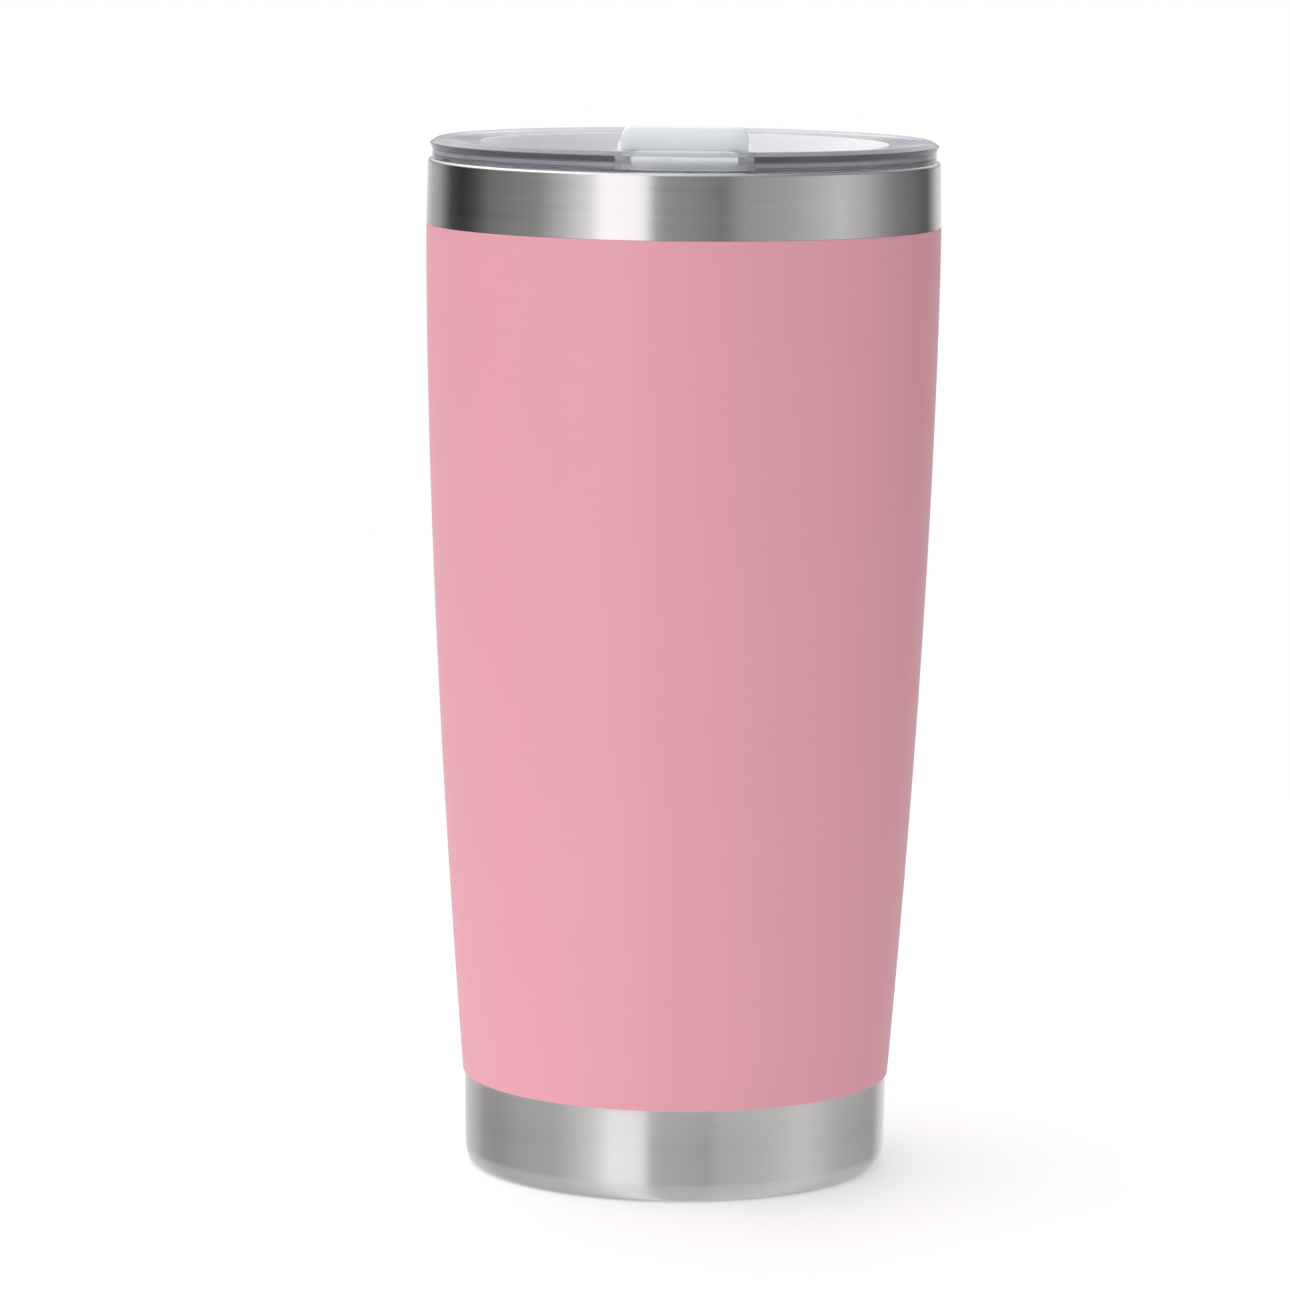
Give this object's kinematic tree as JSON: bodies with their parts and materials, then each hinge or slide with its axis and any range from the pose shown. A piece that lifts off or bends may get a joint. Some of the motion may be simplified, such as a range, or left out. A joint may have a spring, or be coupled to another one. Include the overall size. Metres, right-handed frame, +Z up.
{
  "type": "insulated tumbler with lid",
  "caption": "Tapered double-wall steel tumbler with a pink coated side, bare steel bands, and a clear press-in lid with a sliding drink-hole cover.",
  "frame": {"origin": "centre of the base, on the surface it stands on", "axes": "+Z up along the tumbler's axis; the drink hole is towards -Y and the slider opens towards +Y"},
  "size_m": [0.0874, 0.0874, 0.179],
  "materials": {
    "shell_steel": "circumferentially brushed stainless steel",
    "liner_steel": "satin stainless steel",
    "base_steel": "spun stainless steel",
    "pink_coat": "semi-matt pink powder coating",
    "lid_clear": "clear moulded copolyester",
    "slider_frosted": "frosted translucent plastic",
    "seal_silicone": "translucent silicone",
    "bead_glass": "sealing glass",
    "getter_alloy": "sintered grey alloy"
  },
  "bodies": {
    "cup": {"outer_shell": "shell_steel", "powder_coat": "pink_coat", "inner_liner": "liner_steel", "inner_bottom": "liner_steel", "base_cap": "base_steel", "base_cover": "base_steel", "vacuum_bead": "bead_glass", "getter_pill": "getter_alloy", "getter_holder": "base_steel"},
    "lid_seal": {"lid_gasket": "seal_silicone"},
    "lid": {"lid_body": "lid_clear"},
    "slider": {"lid_slider": "slider_frosted"}
  },
  "joints": [
    {"name": "lid_lift", "type": "slide", "parent": "cup", "child": "lid_seal", "axis": [0, 0, 1], "range_m": [0, 0.06]},
    {"name": "lid_turn", "type": "hinge", "parent": "lid_seal", "child": "lid", "pos_m": [0, 0, 0.167], "axis": [0, 0, 1], "continuous": true},
    {"name": "slider_slide", "type": "slide", "parent": "lid", "child": "slider", "axis": [0, 1, 0], "range_m": [0, 0.0165]}
  ]
}
